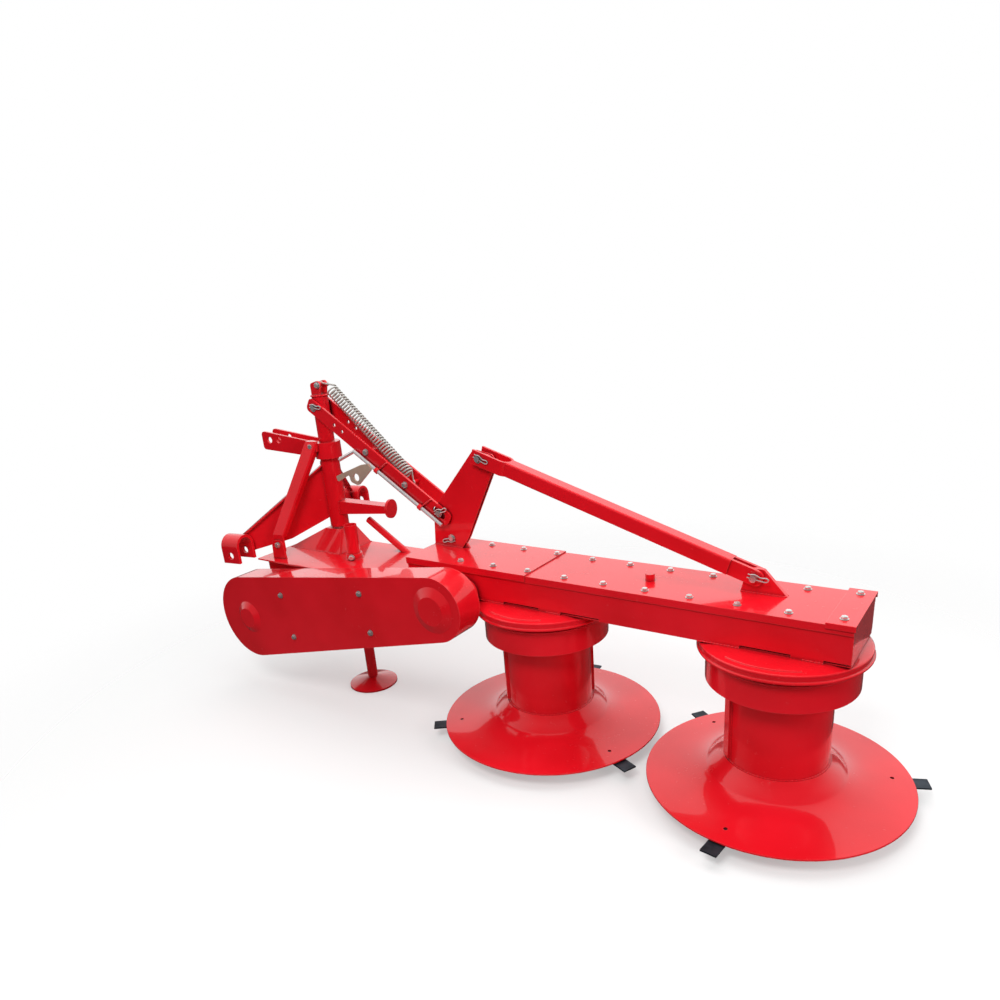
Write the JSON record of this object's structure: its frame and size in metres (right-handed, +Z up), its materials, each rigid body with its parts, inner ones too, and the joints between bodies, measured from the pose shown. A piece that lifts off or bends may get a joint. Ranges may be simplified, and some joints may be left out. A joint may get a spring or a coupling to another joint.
{
  "type": "drum mower",
  "caption": "Rear-mounted rotary drum mower with flared cutting discs on a hinged box bar, belt cover, lift linkage and swing post hitch, swung back for transport.",
  "frame": {"origin": "ground under the middle of the parked mower's box", "axes": "+X along the cutter bar to its outer end, +Y the mowing direction, +Z up"},
  "size_m": [2.6942, 1.0396, 1.2418],
  "materials": {
    "red_paint": "gloss",
    "zinc_steel": "satin",
    "chrome_rod": "polished",
    "spring_wire": "satin",
    "knife_steel": "matte",
    "yellow_zinc": "satin",
    "polished_steel": "satin",
    "worn_steel": "worn"
  },
  "bodies": {
    "carrier": {"swing_post": "red_paint", "post_ring": "polished_steel", "post_roof": "red_paint", "deck": "red_paint", "rail_near": "red_paint", "rail_far": "red_paint", "cross_plates": "red_paint", "leg_sleeve": "red_paint", "lock_lug": "red_paint", "safety_rod": "red_paint", "belt_cover": "red_paint", "belt_back": "red_paint", "input_housing": "red_paint", "link_pin": "zinc_steel"},
    "input": {"input_shaft": "polished_steel"},
    "leg": {"parking_leg": "red_paint"},
    "hitch": {"hitch_sleeve": "red_paint", "top_ears": "red_paint", "wing_left": "red_paint", "wing_right": "red_paint", "loop_left": "red_paint", "loop_right": "red_paint", "stop_arm": "red_paint", "lock_bar": "red_paint"},
    "lift_link": {"link_bars": "red_paint", "latch_rod": "chrome_rod", "latch_hook": "yellow_zinc", "lift_spring": "spring_wire"},
    "cutter_bar": {"bar_trough": "red_paint", "bar_lid": "red_paint", "lid_doubler": "red_paint", "end_strip": "red_paint", "rocker": "red_paint", "rocker_lug": "red_paint", "strut": "red_paint", "strut_ear": "red_paint", "bar_pins": "zinc_steel", "filler_plug": "red_paint", "drum_cap_1": "red_paint", "drum_cap_2": "red_paint", "spindle_1": "polished_steel", "spindle_2": "polished_steel"},
    "first_drum": {"drum_1": "red_paint", "drum_head_1": "red_paint", "disc_1": "red_paint", "knives_1": "knife_steel"},
    "second_drum": {"drum_2": "red_paint", "drum_head_2": "red_paint", "disc_2": "red_paint", "knives_2": "knife_steel"},
    "first_skid": {"skid_1": "worn_steel"},
    "second_skid": {"skid_2": "worn_steel"}
  },
  "joints": [
    {"name": "hitch_swing", "type": "hinge", "parent": "carrier", "child": "hitch", "pos_m": [-0.89558, -0.0269, 0.8], "axis": [0, 0, -1], "range_deg": [0, 99]},
    {"name": "bar_tilt", "type": "hinge", "parent": "carrier", "child": "cutter_bar", "pos_m": [-0.08962, -0.0869, 0.55], "axis": [0, -1, 0], "range_deg": [-5, 20]},
    {"name": "link_pivot", "type": "hinge", "parent": "carrier", "child": "lift_link", "pos_m": [-0.89558, -0.0269, 1.142], "axis": [0, -1, 0], "range_deg": [-11, 4], "deforming": ["lift_spring"]},
    {"name": "drum_1_spin", "type": "hinge", "parent": "cutter_bar", "child": "first_drum", "pos_m": [0.14042, -0.0869, 0.3], "axis": [0, 0, 1], "continuous": true},
    {"name": "drum_2_spin", "type": "hinge", "parent": "cutter_bar", "child": "second_drum", "pos_m": [0.94042, -0.0869, 0.3], "axis": [0, 0, 1], "continuous": true},
    {"name": "skid_1_spin", "type": "hinge", "parent": "cutter_bar", "child": "first_skid", "pos_m": [0.14042, -0.0869, 0.02], "axis": [0, 0, 1], "continuous": true},
    {"name": "skid_2_spin", "type": "hinge", "parent": "cutter_bar", "child": "second_skid", "pos_m": [0.94042, -0.0869, 0.02], "axis": [0, 0, 1], "continuous": true},
    {"name": "input_spin", "type": "hinge", "parent": "carrier", "child": "input", "pos_m": [-1.09458, -0.0869, 0.35], "axis": [0, 1, 0], "continuous": true},
    {"name": "leg_slide", "type": "slide", "parent": "carrier", "child": "leg", "axis": [0, 0, 1], "range_m": [0, 0.14]}
  ],
  "couplings": [
    {"joint": "drum_2_spin", "follows": "drum_1_spin", "ratio": -1},
    {"joint": "input_spin", "follows": "drum_1_spin", "ratio": 0.29},
    {"joint": "link_pivot", "follows": "bar_tilt", "ratio": -0.447}
  ]
}
